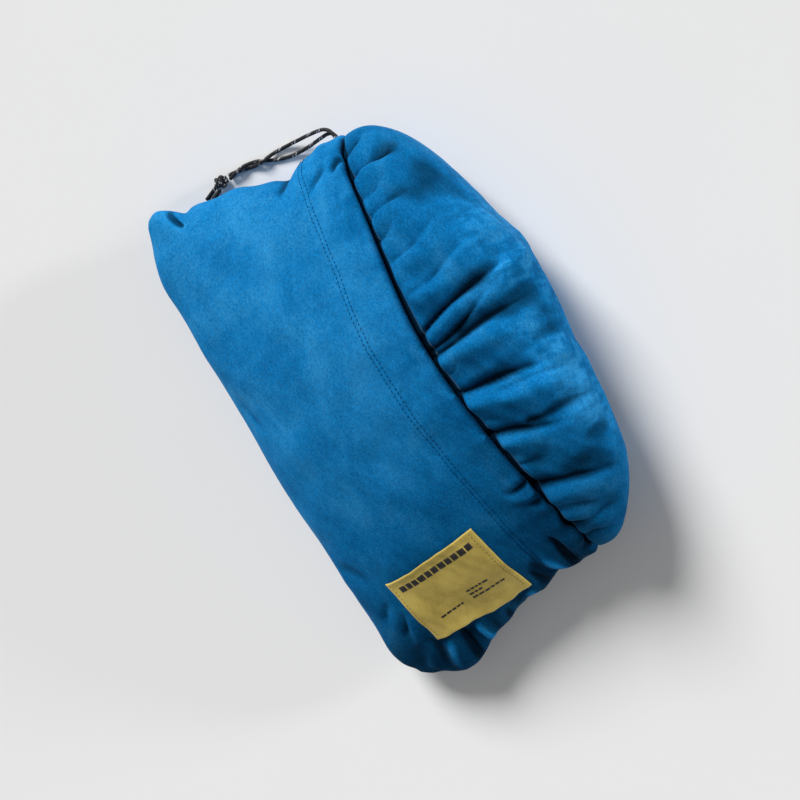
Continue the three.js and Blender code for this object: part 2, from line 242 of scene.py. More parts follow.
class Nodes:
    """Short calls for building one material's nodes."""

    def __init__(self, name):
        self.material = bpy.data.materials.new(name)
        self.material.use_nodes = True
        self.tree = self.material.node_tree
        self.shader = self.tree.nodes["Principled BSDF"]
        self.place = self.add("ShaderNodeTexCoord").outputs["Object"]

    def add(self, kind, **settings):
        node = self.tree.nodes.new(kind)
        for key, value in settings.items():
            setattr(node, key, value)
        return node

    def fill(self, node, **values):
        for key, value in values.items():
            node.inputs[key.replace("_", " ")].default_value = value

    def join(self, source, target):
        self.tree.links.new(source, target)

    def feed(self, value, socket):
        """Give a socket a number, a colour or what another node puts out."""
        if isinstance(value, (int, float)):
            socket.default_value = value
        elif isinstance(value, tuple):
            socket.default_value = (*value, 1)
        else:
            self.join(value, socket)

    def mark(self, name):
        """A named value that the mesh carries at its points."""
        return self.add("ShaderNodeAttribute", attribute_name=name).outputs["Fac"]

    def color(self, value):
        self.join(value, self.shader.inputs["Base Color"])

    def scaled(self, scale, turn=(0, 0, 0)):
        mapping = self.add("ShaderNodeMapping")
        self.fill(mapping, Scale=scale, Rotation=turn)
        self.join(self.place, mapping.inputs["Vector"])
        return mapping.outputs["Vector"]

    def noise(self, scale, detail=3.0, rough=0.55, where=None, distortion=0.0):
        node = self.add("ShaderNodeTexNoise")
        self.fill(node, Scale=scale, Detail=detail, Roughness=rough, Distortion=distortion)
        self.join(self.place if where is None else where, node.inputs["Vector"])
        return node.outputs["Fac"]

    def ramp(self, value, *stops):
        """A colour ramp: each stop is a position and a linear colour."""
        node = self.add("ShaderNodeValToRGB")
        elements = node.color_ramp.elements
        while len(elements) < len(stops):
            elements.new(0.5)
        for element, (position, color) in zip(elements, stops):
            element.position = position
            element.color = (*color, 1)
        self.join(value, node.inputs["Fac"])
        return node.outputs["Color"]

    def greys(self, value, *stops):
        """A ramp of greys: each stop is a position and how light it is."""
        return self.ramp(value, *((position, (light,) * 3) for position, light in stops))

    def mix(self, share, a, b, blend="MIX"):
        node = self.add("ShaderNodeMix", data_type="RGBA", blend_type=blend)
        for value, socket in ((share, 0), (a, 6), (b, 7)):
            self.feed(value, node.inputs[socket])
        return node.outputs[2]

    def math(self, operation, a, b=0.0):
        node = self.add("ShaderNodeMath", operation=operation)
        self.feed(a, node.inputs[0])
        self.feed(b, node.inputs[1])
        return node.outputs[0]

    def bumps(self, *layers):
        """Bump layers, each a height, its distance in millimetres and its strength."""
        normal = None
        for height, distance, strength in layers:
            node = self.add("ShaderNodeBump")
            self.fill(node, Distance=distance * MM, Strength=strength)
            self.join(height, node.inputs["Height"])
            if normal is not None:
                self.join(normal, node.inputs["Normal"])
            normal = node.outputs["Normal"]
        self.join(normal, self.shader.inputs["Normal"])

    def set(self, **values):
        self.fill(self.shader, **values)


def suede(name, deep, middle, nap_and_painted_light, sheen=0.14):
    """Brushed suede: lighter patches where the pile lies the other way, fine fibre grain and sheen, with
    painted shade and painted highlight from the mesh's mark.
    """
    n = Nodes(name)
    patches = n.noise(1.0, 6.0, 0.66, n.scaled((17, 26, 22), (0, 0, 0.35)), 0.5)
    color = n.ramp(patches, (0.34, deep), (0.5, middle), (0.7, nap_and_painted_light))
    brushed = n.noise(1.0, 5.0, 0.75, n.scaled((90, 150, 130), (0, 0, 0.5)), 0.3)
    color = n.mix(n.greys(brushed, (0.42, 0), (0.8, 0.35)), color, nap_and_painted_light)
    fibres = n.noise(620, 5.0, 0.85)
    speckle = n.greys(fibres, (0.32, 0.55), (0.68, 1.45))
    color = n.mix(1.0, color, speckle, "MULTIPLY")
    # painted shade and painted highlight: the mesh's mark darkens the colour in the folds and on the shaded
    # end, and pale speckle is painted on lit ridges and towards the pillow's nose
    pile_and_painted_light = n.mark("nap_and_painted_light")
    color = n.mix(1.0, color, n.greys(pile_and_painted_light, (0, 0.02), (1, 1)), "MULTIPLY")
    # painted highlight: where the mark is above 0.86, a fine speckle mixes in the pale blue (0.04, 0.29,
    # 0.57)
    painted_highlight_speckle = n.greys(n.noise(480, 4.0, 0.8), (0.4, 0), (0.62, 1))
    painted_highlight = n.math("MULTIPLY", n.math("SUBTRACT", pile_and_painted_light, 0.86), painted_highlight_speckle)
    color = n.mix(n.greys(painted_highlight, (0, 0), (0.6, 1)), color, (0.04, 0.29, 0.57))
    n.color(color)
    n.join(n.greys(patches, (0.3, 1), (0.75, 0.8)), n.shader.inputs["Roughness"])
    n.bumps((n.noise(70, 3.0, 0.6), 0.5, 0.3), (n.noise(420, 4.0, 0.7), 0.22, 0.6), (fibres, 0.12, 0.6))
    n.set(Sheen_Weight=sheen, Sheen_Roughness=0.3, Sheen_Tint=(0.25, 0.6, 1, 1), Specular_IOR_Level=0.03)
    return n.material


def woven(name, color, other, threads=900.0, sheen=0.2, shine=0.25):
    """Plain woven cloth: warp and weft threads about a millimetre apart."""
    n = Nodes(name)
    parts = n.add("ShaderNodeSeparateXYZ")
    n.join(n.place, parts.inputs[0])
    warp = n.math("SINE", n.math("MULTIPLY", parts.outputs["X"], threads * 6.28))
    weft = n.math("SINE", n.math("MULTIPLY", parts.outputs["Y"], threads * 6.28))
    weave = n.math("MULTIPLY", warp, weft)
    uneven = n.noise(90, 4.0, 0.6)
    n.color(n.mix(uneven, color, other))
    n.bumps((weave, 0.12, 0.6), (uneven, 0.3, 0.3))
    n.set(Roughness=0.85, Sheen_Weight=sheen, Specular_IOR_Level=shine)
    return n.material


def label_cloth():
    """Gold sateen: fine ribs, a soft lustre and faint stains."""
    n = Nodes("label_cloth")
    cloudy = n.noise(34, 4.0, 0.6)
    color = n.ramp(cloudy, (0.3, (0.52, 0.38, 0.06)), (0.55, (0.8, 0.6, 0.12)), (0.8, (0.92, 0.73, 0.19)))
    ribs = n.noise(1.0, 2.0, 0.5, n.scaled((300, 2600, 300)))
    color = n.mix(0.22, color, n.ramp(ribs, (0.35, (0.3, 0.22, 0.06)), (0.65, (0.75, 0.62, 0.28))))
    n.color(color)
    n.bumps((cloudy, 0.6, 0.15), (ribs, 0.08, 0.5))
    n.set(Roughness=0.42, Sheen_Weight=0.05, Sheen_Roughness=0.5, Specular_IOR_Level=0.3)
    return n.material


def print_ink():
    n = Nodes("print_ink")
    worn = n.noise(700, 3.0, 0.7)
    ink = n.ramp(worn, (0.35, (0.012, 0.011, 0.01)), (0.8, (0.05, 0.045, 0.035)))
    n.color(ink)
    n.bumps((worn, 0.05, 0.4))
    n.set(Roughness=0.55)
    return n.material


def braid():
    """Black braided cord with pale reflective tracer yarns, which the mesh marks as it is built."""
    n = Nodes("braided_cord")
    tracer = n.mark("tracer")
    fuzz = n.noise(1500, 3.0, 0.7)
    black = n.ramp(fuzz, (0.3, (0.004, 0.004, 0.005)), (0.75, (0.022, 0.021, 0.024)))
    pale = n.ramp(fuzz, (0.3, (0.34, 0.34, 0.36)), (0.7, (0.8, 0.8, 0.82)))
    n.color(n.mix(tracer, black, pale))
    n.bumps((fuzz, 0.1, 0.5))
    n.set(Roughness=0.62, Sheen_Weight=0.05, Specular_IOR_Level=0.3)
    return n.material


SUEDE = suede("suede", (0.0015, 0.13, 0.36), (0.003, 0.17, 0.445), (0.02, 0.235, 0.54))
SUEDE_BACK = suede("suede_reverse", (0.01, 0.1, 0.26), (0.02, 0.14, 0.34), (0.05, 0.2, 0.42), 0.2)
STITCH = woven("stitch_thread", (0.0005, 0.035, 0.12), (0.001, 0.06, 0.19), 2500.0, 0.0, 0.02)
LABEL_THREAD = woven("label_thread", (0.1, 0.05, 0.012), (0.2, 0.12, 0.03), 2500.0)
LINING = woven("lining_cloth", (0.62, 0.64, 0.68), (0.74, 0.76, 0.8))
WADDING = woven("wadding", (0.82, 0.82, 0.8), (0.9, 0.9, 0.88), 120.0)
LABEL_CLOTH = label_cloth()
INK = print_ink()
BRAID = braid()

# ---- Drawcord: free strands, knot and cut tails ----

STRAND_A = [
    (-179.2, 44.5, 29.8), (-185, 44.5, 29.8), (-190.5, 43.2, 29), (-194.6, 39, 26.4), (-197, 32.5, 21.5),
    (-199, 25, 15.6), (-200.8, 17, 10), (-202.4, 8.5, 5.4), (-203.8, -0.5, 2.7), (-204.8, -8.5, 1.9),
    (-205, -15, 3), (-204.6, -20, 4.6), (-204.5, -24, 5.1), (-204.6, -28, 4.1), (-205, -31, 2.8),
    (-205.8, -34.5, 1.8), (-207, -38.5, 1.6), (-208.2, -42.5, 1.6), (-209.4, -46.5, 1.6),
    (-210.4, -50.5, 1.8), (-211, -55, 2.6),
]
STRAND_B = [
    (-179.2, 44.5, 26.2), (-184.5, 44.4, 26.1), (-188.8, 42.4, 24.6), (-191, 37.5, 21.2), (-191.8, 31, 16.8),
    (-192.4, 24, 12.2), (-193, 16.5, 7.8), (-193.8, 8.5, 4.4), (-195, 0.5, 2.3), (-196.8, -6.5, 1.6),
    (-199.4, -13.5, 1.6), (-202.4, -19.5, 1.6), (-204.8, -24, 1.6), (-207, -28, 1.6), (-208.3, -31.5, 1.8),
    (-209.2, -35, 2.4), (-209.7, -39, 3.9), (-209.6, -42.5, 4.8), (-209.2, -46.5, 5),
    (-208.5, -50.5, 4.5), (-207.8, -55, 3.6),
]
TAIL_A = [(-208.9, -68.9, 3.4), (-207.9, -73, 2.2), (-206.6, -77.5, 1.7), (-205.2, -82, 1.6)]
TAIL_B = [(-205.2, -67.2, 3.4), (-203.9, -71.5, 2.2), (-202.8, -75.5, 1.7), (-201.8, -79.5, 1.6)]
CARRIERS = 4  # bundles of yarn that wind each way round the cord
BRAID_PITCH = 6.0
BRAID_SIDES = 24
TRACER_PITCH = 17.0


def smooth_route(points, step=0.35):
    """Evenly spaced points on a Catmull-Rom curve through the given ones."""
    points = np.array(points, float)
    padded = np.vstack([2 * points[0] - points[1], points, 2 * points[-1] - points[-2]])
    fine = []
    for i in range(1, len(points)):
        fine.append(catmull_rom(*padded[i - 1:i + 3], np.linspace(0, 1, 24, endpoint=False)[:, None]))
    fine = np.vstack([*fine, points[-1:]])
    length = lengths_along(fine)
    stations = np.linspace(0, length[-1], max(int(length[-1] / step), 4))
    return points_at(stations, length, fine), length[-1]


def frames_along(route, closed=False):
    """Two side directions at each point of a route, which turn as little as they can."""
    if closed:
        tangents = np.roll(route, -1, axis=0) - np.roll(route, 1, axis=0)
    else:
        tangents = np.gradient(route, axis=0)
    tangents /= np.linalg.norm(tangents, axis=1, keepdims=True)
    side = np.cross(tangents[0], (0.0, 0.0, 1.0))
    if np.linalg.norm(side) < 1e-6:
        side = np.array([1.0, 0.0, 0.0])
    sides = []
    for tangent in tangents:
        side = side - tangent * (side @ tangent)
        side = side / np.linalg.norm(side)
        sides.append(side)
    sides = np.array(sides)
    return sides, np.cross(tangents, sides)


def outwards(side, over, turn):
    """Directions from each point of a route to the points round it."""
    return side[:, None, :] * np.cos(turn)[None, :, None] + over[:, None, :] * np.sin(turn)[None, :, None]


def braided_tube(name, route, replaces, closed=False, phase=0.0):
    """Braided cord as real relief: yarn bundles wind both ways and pass over and under."""
    around = BRAID_SIDES
    side, over = frames_along(route, closed)
    turn = np.linspace(0, 2 * math.pi, around, endpoint=False)
    along = lengths_along(route)[:, None] + phase
    left = CARRIERS * turn[None, :] + 2 * math.pi * along / BRAID_PITCH * 2
    right = CARRIERS * turn[None, :] - 2 * math.pi * along / BRAID_PITCH * 2
    relief = np.maximum(np.sin(left), np.sin(right))
    radius = CORD / 2 * (0.96 + 0.05 * relief)
    direction = outwards(side, over, turn)
    points = (route[:, None, :] + direction * radius[..., None]).reshape(-1, 3)
    rows = len(route)
    faces = grid_faces(rows, around, wrap=True)
    if closed:
        last = (rows - 1) * around
        faces += [[last + c, last + (c + 1) % around, (c + 1) % around, c] for c in range(around)]
    else:
        faces.append(list(range(around - 1, -1, -1)))
        faces.append(list(range((rows - 1) * around, rows * around)))
    yarn = np.cos(turn[None, :] + 2 * math.pi * along / TRACER_PITCH + 0.4 * np.sin(along * 0.9))
    dash = np.sin(along * 1.9 + 1.3 * np.sin(along * 0.31) + 2 * turn[None, :])
    tracer = ease(0.66, 0.8, yarn) * ease(0.0, 0.5, dash) * ease(-0.1, 0.4, relief)
    return mesh_piece(name, points, faces, BRAID, replaces=replaces, marks={"tracer": tracer})


def ring(middle, axis, radius, count=70):
    axis = np.array(axis, float) / np.linalg.norm(axis)
    side = np.cross(axis, (0.0, 0.0, 1.0))
    side /= np.linalg.norm(side)
    over = np.cross(axis, side)
    turn = np.linspace(0, 2 * math.pi, count, endpoint=False)[:, None]
    return np.array(middle) + radius * (np.cos(turn) * side + np.sin(turn) * over)


def knot_pieces():
    """The overhand knot's turns: two wraps round the cords, one crossing over, and its core."""
    middle = (KNOT_LOW + KNOT_HIGH) / 2
    # each turn's place from the knot's middle, its axis and its radius
    wraps = [
        ring(middle + (0.1, 1.75, -0.2), (0.12, 1.0, 0.16), 3.75),
        ring(middle + (0.0, -1.6, -0.2), (-0.1, 1.0, -0.12), 3.75),
        ring(middle + (0.2, 0.1, 0.2), (0.75, 0.75, 0.35), 4.2),
    ]
    pieces = []
    for i, route in enumerate(wraps):
        replaces = ("cord_knot",) if i == 0 else ()
        pieces.append(braided_tube(f"knot_turn_{i + 1}", route, replaces, closed=True, phase=5.0 * i))
    for i, shift in enumerate((-1.5, 1.5)):
        places = [(shift, 5.6, -2.4), (0.5 * shift, 2, -0.6), (-0.5 * shift, -2, -0.6),
                  (-shift + 1.2, -5.6, -2.2)]
        core = [middle + place for place in places]
        pieces.append(braided_tube(f"knot_core_{i + 1}", smooth_route(core)[0], ()))
    return pieces


def make_cords():
    knot = knot_pieces()
    tails = [braided_tube("cord_end_a", smooth_route(TAIL_A)[0], ("cord_tail_a",), phase=3.0),
             braided_tube("cord_end_b", smooth_route(TAIL_B)[0], ("cord_tail_b",), phase=8.0)]
    for letter, points in (("a", STRAND_A), ("b", STRAND_B)):
        route, length = smooth_route(points)
        strand = braided_tube(f"free_cord_{letter}", route, (f"cord_strand_{letter}",))


make_cords()

# ---- Base surfaces, as the CAD panels lie ----


def across_section(side, angle):
    """Where a column lies across the section, -1 to 1, and the section's height there."""
    shoulder = np.where(angle > 0, SHOULDER_RIGHT, SHOULDER_LEFT)
    exponent = shoulder if side == TOP else np.full_like(shoulder, UNDERSIDE)
    reach = np.abs(np.sin(angle)) ** (2 / exponent) * np.sign(angle)
    height = np.clip(np.cos(angle), 0, 1) ** (2 / exponent)
    return reach, height


def mouth_y(reach):
    return MOUTH_Y + MOUTH_BOW * (1 - (1 - reach**2) ** 3)


def sleeve_surface(side, angle, depth, inset):
    """Sleeve point: depth is 0 at the mouth and 1 at the closed end, inset is measured inwards."""
    reach, height = across_section(side, angle)
    half = lerp(MOUTH_HALF, HALF_LENGTH, ease(FLARE_START, FLARE_END, depth)) - inset
    corner = ease(0.8, 1, depth) * reach**CORNER_POWER
    fall = height * crown(depth, PROFILE)
    front = mouth_y(reach)
    if side == TOP:
        z = SEAM_Z + (SLEEVE_RISE - inset) * fall
    else:
        z = SEAM_Z - np.minimum((UNDERSIDE_DROP - inset) * fall, SEAM_Z - inset)
    x = half * reach * (1 - CORNER_NARROWING * corner)
    y = front - depth * (front - CLOSED_Y - inset) * (1 - CORNER_PULL * corner)
    return np.stack([x, y, z], axis=-1)


def forwardness(station):
    """How far forward a station of the pillow's front lies: 0 at the mouth, 1 at the nose."""
    return np.sin(np.clip(station - 1, 0, 1) * QUARTER)


def pillow_surface(side, angle, station, inset):
    """Pillow point: station is 0 at the hidden end, 1 at the mouth and 2 at the nose."""
    reach, height = across_section(side, angle)
    layer = PILLOW_INSET + inset
    mouth = mouth_y(reach) + SLIDE_GAP
    depth = crown(np.minimum(station, 1), 2)
    forward = forwardness(station)
    run = forward * (FRONT_Y - inset - mouth)
    swell = ease(0, BULGE_LENGTH, run)
    half = lerp(MOUTH_HALF - layer, BULGE_HALF - inset, ease(-8, SIDE_BULGE_LENGTH, run))
    waist = lerp(SEAM_Z, PILLOW_SEAM_Z, swell)
    top = lerp(SEAM_Z + SLEEVE_RISE - layer, PILLOW_TOP - inset, swell)
    ground = lerp(layer, inset, swell)
    fall = height * crown(depth, PROFILE) * crown(forward, FRONT_PROFILE)
    if side == TOP:
        z = waist + (top - waist) * fall
    else:
        z = waist - np.minimum((waist - ground + UNDERSIDE_DROP - SEAM_Z) * fall, waist - ground)
    cheek = 1 + 0.035 * bump(forward, 0.5, 0.2)
    narrowing = np.where(angle < 0, crown(forward, NOSE_LEFT) * cheek, crown(forward, NOSE_RIGHT))
    x = half * reach * narrowing
    y = mouth - depth * (mouth - CLOSED_Y - layer) + run * (1 - 0.07 * bump(x, -72, 50))
    return np.stack([x, y, z], axis=-1)


def crease(x, y, start, end, width, height):
    """Relief of one crease from start to end: a sharp line with softer lips of the other sign."""
    (x0, y0), (x1, y1) = start, end
    length = math.hypot(x1 - x0, y1 - y0)
    along = ((x - x0) * (x1 - x0) + (y - y0) * (y1 - y0)) / length**2
    off = ((x - x0) * (y1 - y0) - (y - y0) * (x1 - x0)) / length
    off += 0.09 * length * np.sin(along * 3.0 + x0)
    lips = bump(off, 2.6 * width, 1.7 * width) + bump(off, -2.6 * width, 1.7 * width)
    return height * (bump(off, 0, width) - 0.4 * lips) * ease(-0.12, 0.25, along) * (
        1 - ease(0.55, 1.1, along))


# ---- Sleeve: relief of its cloth ----

# Creases in the front panel: start and end in plan, half-width and height, in millimetres.
# A negative height is a valley.
FRONT_CREASES = [
    ((206, -62), (176, -54), 4.0, 5.0), ((201, -38), (181, -32), 3.0, -3.4),
    ((196, -17), (172, -9), 4.2, 5.0), ((193, 2), (168, 4), 3.0, -4.0),
    ((187, 20), (158, 19), 4.0, 4.6), ((184, 36), (150, 30), 3.0, -4.4),
    ((208, -92), (180, -82), 4.2, 4.2), ((205, -78), (182, -72), 3.0, -3.0),
    ((204, -112), (180, -104), 4.0, 2.6), ((168, -116), (150, -98), 3.0, -1.8),
    ((180, -112), (160, -100), 3.0, 1.6), ((150, -122), (138, -104), 3.4, -1.4),
    ((112, 54), (106, 28), 2.4, -2.2), ((119, 54), (114, 30), 2.8, 1.5),
    ((128, 54), (124, 36), 2.4, -1.6), ((-166, 52), (-158, 36), 4.5, -3.8),
    ((-181, 40), (-150, 12), 5.0, -2.0), ((-209, -102), (-192, -96), 3.4, -3.6),
    ((-192, 0), (-160, -8), 6.0, -2.0), ((-60, -128), (-20, -110), 5.0, -1.2),
    ((95, -132), (120, -104), 5.0, -1.5),
]


def on_label(x, y):
    """1 under the label patch, fading to 0 round it: the patch holds the cloth flat."""
    along, up = label_axes(x, y)
    margin = 5.0
    return (1 - ease(LABEL_HALF, LABEL_HALF + margin, np.abs(along))) * (
        1 - ease(LABEL_HEIGHT / 2, LABEL_HEIGHT / 2 + margin, np.abs(up)))


def label_axes(x, y):
    """A place in plan as distances along the label's width and up its height."""
    dx, dy = x - LABEL_X, y - LABEL_Y
    sine, cosine = math.sin(LABEL_TURN), math.cos(LABEL_TURN)
    return dx * cosine + dy * sine, -dx * sine + dy * cosine


def seam_puckers(x, y):
    """Little gathers where the side seams pull the panels in."""
    edge = np.abs(x) - lerp(MOUTH_HALF, HALF_LENGTH, ease(0, -110, y))
    fade = np.exp(np.clip(edge, -60, 0) / 9.0)
    pitch = np.sin(y / 2.9 + 1.7 * np.sin(y / 11.0) + np.where(x > 0, 0.0, 1.3))
    return fade * np.where(x > 0, 1.6, 0.5) * pitch


# How far the sewn edges wander from their plain course: each lump's place along the edge, its
# half-width and its height, in millimetres. The side seams move along X, the other edges along Y.
RIGHT_LUMPS = [
    (-80, 26, 11.5), (-40, 15, 7.0), (-5, 11, 6.0), (32, 7, 2.5), (-22, 7, 3.0), (17, 5, -2.5),
    (-109, 9, -4.5),
]
LEFT_LUMPS = [(-118, 13, -9.5), (-92, 7, 4.5), (-46, 14, -4.5), (-4, 10, 6.5), (33, 8, -3.0)]
END_LUMPS = [(-163, 20, 3.0), (176, 18, 3.6), (18, 42, 2.0)]
NOSE_LUMPS = [(36, 46, -8.0), (-168, 28, 3.6), (166, 22, 2.6)]


def lumps(places, table):
    return sum(height * bump(places, middle, width) for middle, width, height in table)


def seam_lumps(x, y):
    """How far the side seams wander: slack lumps on the right, an eared corner on the left."""
    right = lumps(y, RIGHT_LUMPS) - 6.0 * ease(-116, -130, y)
    left = lumps(y, LEFT_LUMPS) + 7.0 * ease(-121, -133, y)
    return np.where(x > 0, right, left)


def end_lumps(x):
    """How far the closed end wanders outwards, fullest towards its two corners."""
    return 0.2 + lumps(x, END_LUMPS)


def nose_lumps(x):
    """How far the pillow's nose wanders: flatter right of the middle, fuller at its two corners."""
    return 1.6 - 4.4 * ease(-48, -8, x) * ease(140, 100, x) + lumps(x, NOSE_LUMPS)


def sleeve_creases(side, x, y):
    """The sharper part of the sleeve's relief: creases and seam puckers, held flat by the label."""
    relief = seam_puckers(x, y)
    if side == TOP:
        for start, end, width, height in FRONT_CREASES:
            relief += crease(x, y, start, end, width, height)
        relief = relief * (1 - on_label(x, y))
    return relief


def sleeve_relief(side, x, y, behind):
    """How far the sleeve's outside stands proud of its plain surface."""
    where = np.stack([x, 1.25 * y], axis=-1)
    seed = 11 if side == TOP else 12
    relief = sleeve_creases(side, x, y) + 0.12 * waves(where, 13, seed + 40)
    relief += 1.2 * waves(where, 120, seed) + 0.5 * waves(where, 48, seed + 20)
    # the hem: a soft roll over the cord, a pressed groove at each row of stitches and small pulls
    drawn = ease(120, 160, x)
    relief += 0.9 * bump(behind, 7, 6) + 0.5 * bump(behind, 21, 8)
    for row in STITCH_ROWS:
        relief -= 0.45 * bump(behind, row, 0.9)
    pulls = waves(np.stack([x, 0.12 * y], axis=-1), 9, seed + 70, 7)
    relief += 0.2 * pulls * bump(behind, STITCH_ROWS[0], 7)
    gathers = waves(np.stack([x, 0.1 * y], axis=-1), 13, seed + 90, 7)
    return relief + (0.3 + 1.5 * drawn) * gathers * np.exp(-behind / 16)


def sleeve_place(side, angle, depth):
    """A plain point of the sleeve, how far across its section it lies and how far behind the mouth."""
    reach, _ = across_section(side, angle)
    return sleeve_surface(side, angle, depth, 0.0), reach, depth * (mouth_y(reach) - CLOSED_Y)


def sleeve_skin(side, angle, depth, inset, share=1.0):
    """Sleeve point with its relief; share is how much of the relief a row takes."""
    flat, reach, behind = sleeve_place(side, angle, depth)
    x, y = flat[..., 0], flat[..., 1]
    # the relief dies away at the sewn edges, so that the two panels always meet
    edge = 0.25 + 0.75 * ease(0, 0.06, 1 - np.abs(reach))
    end = ease(0, 0.05, 1 - depth)
    lift = sleeve_relief(side, x, y, behind) * share * edge * end
    # no crease goes deeper than the hem's channel, nor than the room round the pillow
    lift = np.maximum(lift, lerp(-3.4, -6.0, ease(HEM_DEPTH, HEM_DEPTH + 6, behind)))
    if side == BOTTOM:
        lift = np.minimum(lift, 0.0) * 0.6 + np.maximum(lift, 0.0) * 0.1
    points = sleeve_surface(side, angle, depth, inset - lift)
    drawn = ease(125, 160, x) + 0.3 * ease(-150, -178, x)
    sway = drawn * 2.2 * np.sin(x / 4.3 + 0.8) * np.exp(-behind / 15)
    sway += 0.5 * np.sin(x / 21) * np.exp(-behind / 30)
    points[..., 1] += sway * end * (1.0 if side == TOP else 0.5)
    points[..., 0] += seam_lumps(x, y) * ease(0.89, 1, np.abs(reach)) * ease(5, 25, behind)
    points[..., 1] -= end_lumps(x) * ease(0.8, 1, depth)
    return points


def sleeve_pile_and_painted_light(side, angle, depth, share):
    """Painted light for the sleeve's colour: 1 is plain, less is painted shade, more is paler: painted
    highlight on ridges and pale patches.
    """
    flat, _, behind = sleeve_place(side, angle, depth)
    x, y = flat[..., 0], flat[..., 1]
    relief = sleeve_creases(side, x, y)
    # painted shade down in the creases and seam puckers
    painted_fold_shade = 1 - 0.85 * ease(-0.2, -2.6, relief)
    # painted highlight on high ridges towards the +X end
    painted_ridge_highlight = 0.75 * ease(1.6, 4.2, relief) * ease(120, 170, x)
    # painted shade: darker towards the +X end and close to the mouth
    painted_shade_by_place = 0.95 - 0.3 * ease(40, 150, x) - 0.42 * ease(148, 186, x)
    painted_shade_by_place -= 0.1 * ease(46, 6, behind)
    # pale patches, strongest at the -X end and gone past x = 90
    brushed = 0.5 + 0.5 * np.tanh(1.4 * (waves(flat, 44, 61) + 0.6 * waves(flat, 15, 62)))
    brushed = 0.27 * brushed * ease(90, -120, x)
    # painted shade: the hem's turned-in rows get a flat 0.4
    return lerp(0.4, painted_fold_shade * painted_shade_by_place + painted_ridge_highlight + brushed, share)


# ---- Sleeve panels with their turned-in hem ----


def sleeve_rows():
    """Rows from the turned-in edge round the mouth's fold to the end of the hem.

    Each row is the outside's distance behind the mouth and inset, the inside's, and the share
    of the relief that it takes."""
    fold = HEM_STACK / 2
    rows = [(distance, HEM_STACK, distance, HEM_STACK - CLOTH, 0.0)
            for distance in np.linspace(HEM_DEPTH, fold + 1, 8)]
    for turn in np.linspace(QUARTER, -QUARTER, 19):
        inner = fold - CLOTH
        rows.append((fold - fold * math.cos(turn), fold + fold * math.sin(turn),
                     fold - inner * math.cos(turn), fold + inner * math.sin(turn),
                     0.5 - 0.5 * math.sin(turn)))
    rows += [(distance, 0.0, distance, CLOTH, 1.0) for distance in np.arange(fold + 0.7, 46, 0.75)]
    return rows


def sleeve_panel(side, name, node, columns=381):
    angles = np.linspace(-QUARTER, QUARTER, columns)
    reach, _ = across_section(side, angles)
    length = mouth_y(reach) - CLOSED_Y
    outer, inner, nap_and_painted_light = [], [], []
    for distance, inset, back_distance, back_inset, share in sleeve_rows():
        nap_and_painted_light.append(sleeve_pile_and_painted_light(side, angles, distance / length, share))
        outer.append(sleeve_skin(side, angles, distance / length, inset, share))
        inner.append(sleeve_skin(side, angles, back_distance / length, back_inset, share))
    hem_end = distance / length
    for share in 1 - (1 - np.linspace(0.012, 1, 130)) ** 1.5:
        depth = hem_end + (1 - hem_end) * share
        nap_and_painted_light.append(sleeve_pile_and_painted_light(side, angles, depth, 1.0))
        outer.append(sleeve_skin(side, angles, depth, 0.0))
        inner.append(sleeve_skin(side, angles, depth, CLOTH))
    points = stacked([outer, inner])
    points[:, 2] = np.maximum(points[:, 2], 0.05)
    # the outer face carries the painted shade and painted highlight; the inner face gets a flat, darker 0.7
    marks = {"nap_and_painted_light": np.concatenate([np.array(nap_and_painted_light).ravel(), np.full(points.shape[0] // 2, 0.7)])}
    panel = mesh_piece(name, points, shell_faces(len(outer), columns), SUEDE, replaces=(node,),
                       weld=0.02, marks=marks)


ALLOWANCE_DEPTH = 0.6  # what shows of the two layers' thickness


def allowance_piece(name, node, points, rows, columns):
    mesh_piece(name, points, shell_faces(rows, columns), SUEDE_BACK, replaces=(node,),
               weld=0.01, marks={"nap_and_painted_light": np.ones(len(points))})


def side_allowance(direction, name, node):
    """Seam allowance inside one side seam, a little wavy where it was trimmed."""
    rows, columns = 90, 13
    spread = np.radians(np.linspace(9, -9, columns))
    depths = np.linspace(0.26, 0.93, rows)[:, None]
    layers = []
    for inset in (3 * CLOTH, 3 * CLOTH + ALLOWANCE_DEPTH):
        angle = direction * (QUARTER - np.abs(spread)[None, :] * (1 + 0.08 * np.sin(depths * 70)))
        upper, lower = (sleeve_surface(side, angle, depths, inset) for side in (TOP, BOTTOM))
        layers.append(np.where((spread >= 0)[None, :, None], upper, lower))
    points = stacked(layers)
    points[:, 0] += seam_lumps(points[:, 0], points[:, 1])
    allowance_piece(name, node, points, rows, columns)


def end_allowance():
    """Seam allowance inside the closed end."""
    angles = np.linspace(-1.0, 1.0, 121)
    lifts = np.linspace(3, -3, 9)
    layers = []
    for inset in (3 * CLOTH, 3 * CLOTH + ALLOWANCE_DEPTH):
        edge = sleeve_surface(TOP, angles, np.ones_like(angles), inset)
        layers.append([edge + np.stack([0 * angles, 0.2 * abs(lift) + 0.15 * np.sin(angles * 60),
                                        lift + 0.2 * np.sin(angles * 47)], axis=-1) for lift in lifts])
    allowance_piece("end_allowance", "end_seam", stacked(layers), len(lifts), len(angles))


# ---- Topstitching and the label ----


